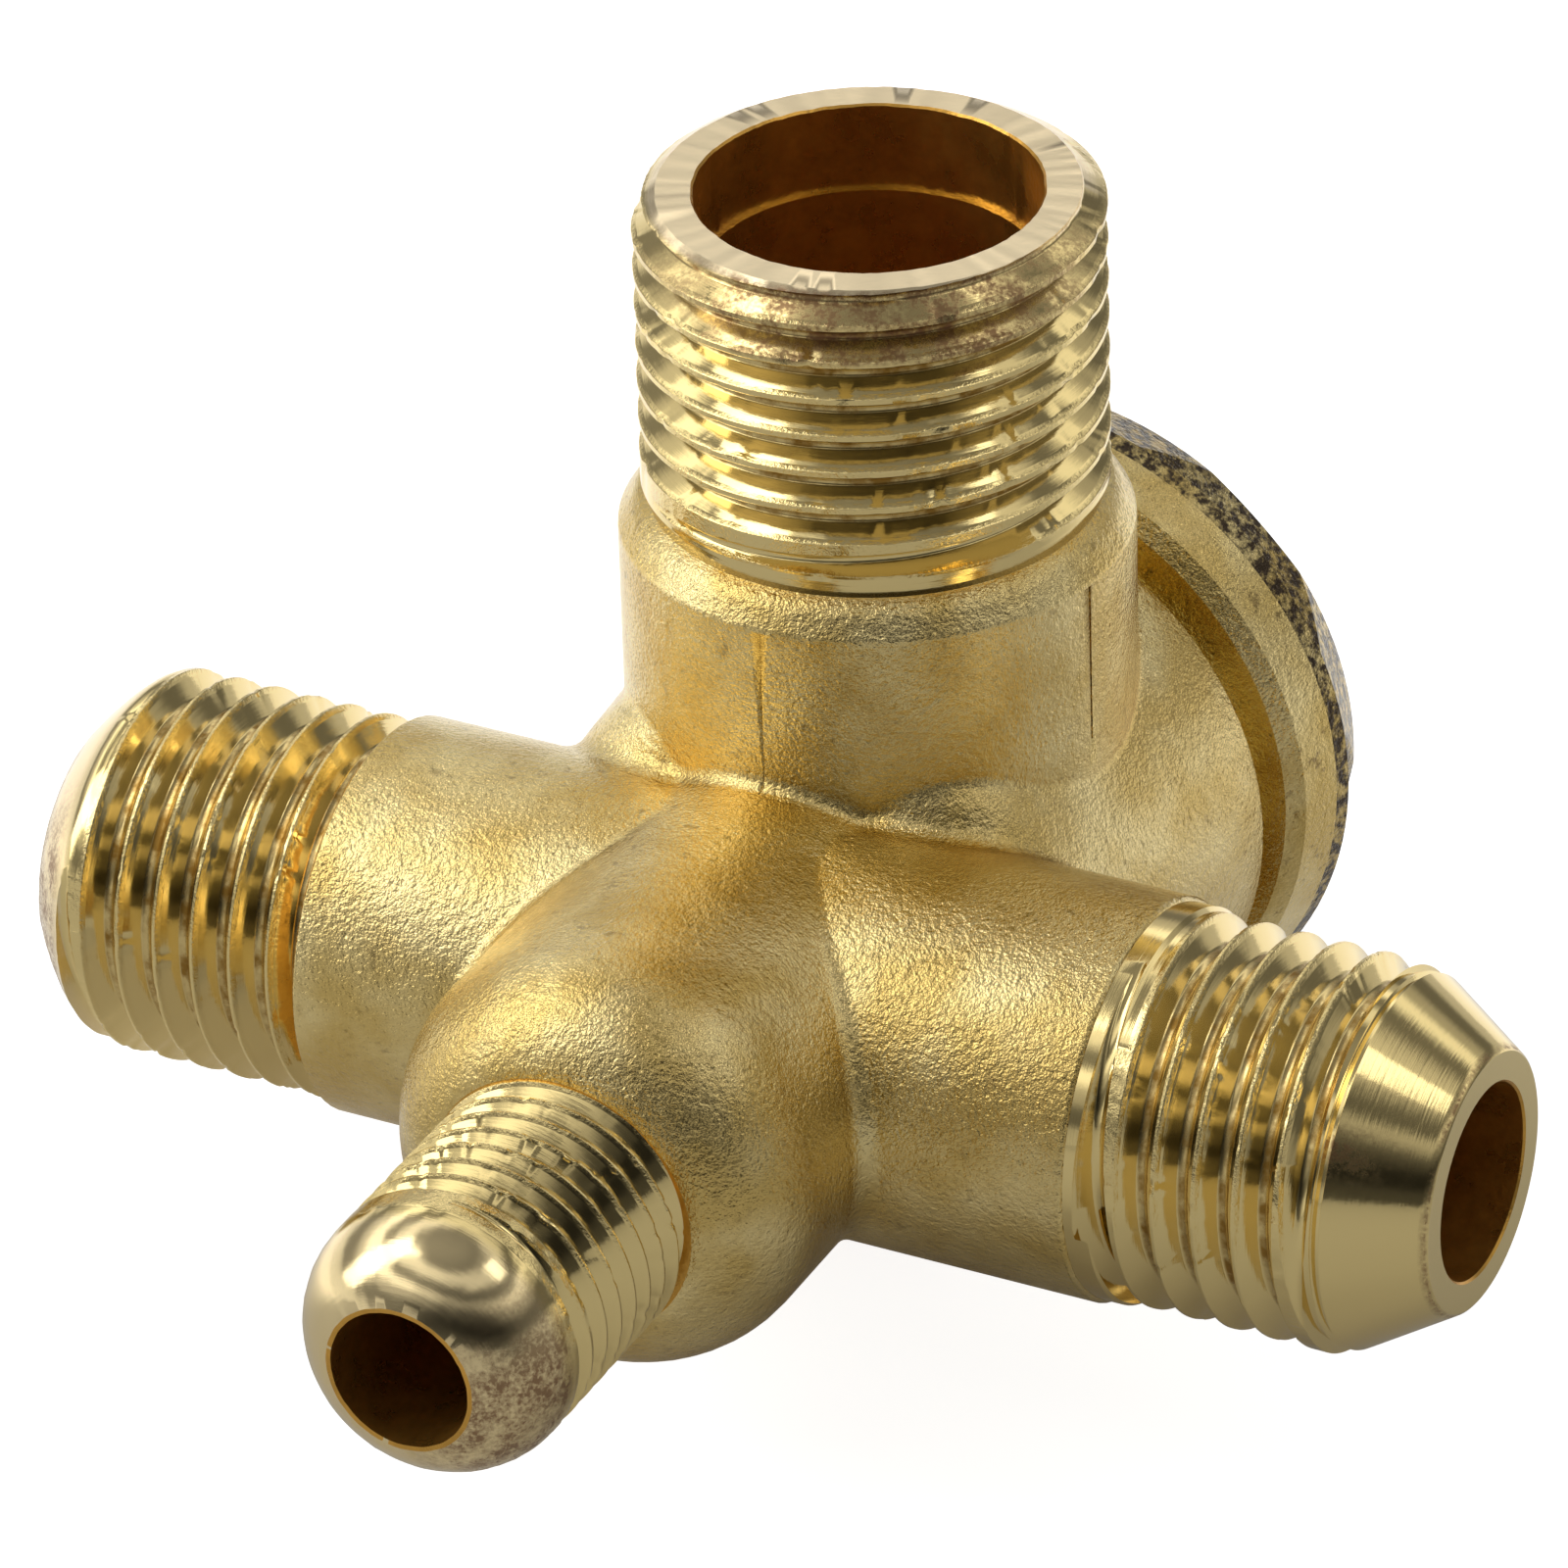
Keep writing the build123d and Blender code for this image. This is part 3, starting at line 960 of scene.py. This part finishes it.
def lay_floor():
    """Pale floor, brighter behind the valve in its reflections and white to the camera."""
    bpy.ops.object.select_all(action="DESELECT")
    ground = CAD_BOUNDS[0][2]
    bpy.ops.mesh.primitive_plane_add(size=6.0, location=(0, 0, ground))
    floor = bpy.context.object
    floor.name = "floor"
    material, tree, shader = new_material("pale_floor")
    place = node(tree, "ShaderNodeTexCoord").outputs["Object"]
    forward = along_axis(tree, place, FRONT, FLOOR_FADE * MM)
    # Painted light: the floor's colour and its glow in glossy rays brighten behind the valve,
    # standing in for the room's light there
    back = ramp(tree, forward, [(0.25, 0.6), (0.55, 0.0)])
    pale = ramp(tree, forward, [(0.25, 0.85), (0.60, 0.66)])
    tree.links.new(pale, shader.inputs["Base Color"])
    shader.inputs["Roughness"].default_value = 0.9
    shader.inputs["Specular IOR Level"].default_value = 0.0
    shader.inputs["Emission Color"].default_value = (1, 1, 1, 1)
    path = node(tree, "ShaderNodeLightPath")
    seen = maths(tree, "MULTIPLY", path.outputs["Is Camera Ray"], 0.86)
    mirrored = maths(tree, "MULTIPLY", path.outputs["Is Glossy Ray"], back)
    glow = maths(tree, "ADD", seen, mirrored)
    tree.links.new(glow, shader.inputs["Emission Strength"])
    floor.data.materials.append(material)


def area_lamp(name, at, size, power):
    """Soft lamp, sized and placed in millimetres, aimed at the valve."""
    light = bpy.data.lights.new(name, "AREA")
    light.shape = "RECTANGLE"
    light.size, light.size_y = size[0] * MM, size[1] * MM
    light.energy = power
    lamp = bpy.data.objects.new(name, light)
    lamp.location = Vector(at) * MM
    look = (Vector(LAMP_AIM) * MM - lamp.location).normalized()
    lamp.rotation_euler = look.to_track_quat("-Z", "Y").to_euler()
    bpy.context.scene.collection.objects.link(lamp)


def light_room(scene):
    """Surroundings with bright and dark bands by height, dim behind the camera."""
    world = bpy.data.worlds.new("studio")
    scene.world = world
    world.use_nodes = True
    tree = world.node_tree
    around = node(tree, "ShaderNodeTexCoord").outputs["Generated"]
    split = node(tree, "ShaderNodeSeparateXYZ")
    tree.links.new(around, split.inputs["Vector"])
    bands = ramp(tree, split.outputs["Z"], [
        (0.0, 0.55), (0.12, 0.5), (0.20, 0.14), (0.32, 0.14), (0.40, 0.38),
        (0.48, 0.42), (0.55, 1.0), (0.61, 1.0), (0.67, 0.16), (0.74, 0.16),
        (0.80, 0.72), (0.87, 0.72), (0.92, 0.16), (1.0, 0.22)])
    front = ramp(tree, along_axis(tree, around, FRONT, 2), [
        (0.0, 1.0), (0.5, 0.95), (0.75, 0.75), (0.92, 0.14), (1.0, 0.07)])
    side = ramp(tree, along_axis(tree, around, RIGHT_HAND, 2), [(0.3, 1.0), (0.75, 0.6)])
    room = mixed(tree, 1.0, bands, mixed(tree, 1.0, front, side, "MULTIPLY"), "MULTIPLY")
    path = node(tree, "ShaderNodeLightPath")
    seen = maths(tree, "MAXIMUM", path.outputs["Is Camera Ray"],
                 path.outputs["Is Transmission Ray"])
    background = tree.nodes["Background"]
    tree.links.new(mixed(tree, seen, room, (1.0, 1.0, 1.0)), background.inputs["Color"])
    less = maths(tree, "MULTIPLY", seen, ROOM_STRENGTH - 1.0)
    tree.links.new(maths(tree, "SUBTRACT", ROOM_STRENGTH, less), background.inputs["Strength"])


def place_camera(scene):
    """Camera as fitted to the photo."""
    camera = bpy.data.cameras.new("camera")
    camera.sensor_width = 36.0
    camera.lens = LENS
    camera.clip_start = 0.01
    camera.clip_end = 20.0
    holder = bpy.data.objects.new("camera", camera)
    scene.collection.objects.link(holder)
    right = Vector(CAMERA_RIGHT).normalized()
    ahead = Vector(CAMERA_AHEAD).normalized()
    up = right.cross(ahead).normalized()
    right = ahead.cross(up).normalized()
    turn = Matrix((right, up, -ahead)).transposed().to_4x4()
    holder.matrix_world = Matrix.Translation(Vector(CAMERA_AT) * MM) @ turn
    scene.camera = holder


class VALVE_OT_stage(bpy.types.Operator):
    """Set the floor, the lamps, the surroundings and the camera"""

    bl_idname = "valve.stage"
    bl_label = "Stage"

    def execute(self, context):
        scene = context.scene
        lay_floor()
        area_lamp("left_softbox", (-293, -148, 229), (150, 420), 0.44)
        area_lamp("right_softbox", (235, 10, 330), (110, 110), 0.05)
        light_room(scene)
        place_camera(scene)
        scene.view_settings.view_transform = "Standard"
        return {"FINISHED"}


# Sidebar panel and the run of the script


class VALVE_PT_pieces(bpy.types.Panel):
    """Lists the valve's pieces"""

    bl_idname = "VALVE_PT_pieces"
    bl_label = "Non-return valve"
    bl_space_type = "VIEW_3D"
    bl_region_type = "UI"
    bl_category = "Valve"

    def draw(self, context):
        for made in PIECES:
            self.layout.operator(made.bl_idname)
        for group in SIZES:
            settings = getattr(context.scene, group)
            box = self.layout.box()
            box.label(text=group.replace("_", " "))
            for key in settings.__annotations__:
                box.prop(settings, key)


SIZES = {
    "tank_thread": TankThreadSizes,
    "run_thread": RunThreadSizes,
    "front_thread": FrontThreadSizes,
    "poppet_spring": SpringSizes,
    "finish_colours": FinishColours,
}
PIECES = (VALVE_OT_body, VALVE_OT_cap, VALVE_OT_shuttle, VALVE_OT_stage)


def register():
    for group, kind in SIZES.items():
        bpy.utils.register_class(kind)
        setattr(bpy.types.Scene, group, bpy.props.PointerProperty(type=kind))
    for made in PIECES + (VALVE_PT_pieces,):
        bpy.utils.register_class(made)


def unregister():
    for made in reversed(PIECES + (VALVE_PT_pieces,)):
        bpy.utils.unregister_class(made)
    for group, kind in SIZES.items():
        delattr(bpy.types.Scene, group)
        bpy.utils.unregister_class(kind)


def main():
    register()
    bpy.ops.valve.body()
    bpy.ops.valve.cap()
    bpy.ops.valve.shuttle()
    bpy.ops.valve.stage()


if __name__ == "__main__":
    main()
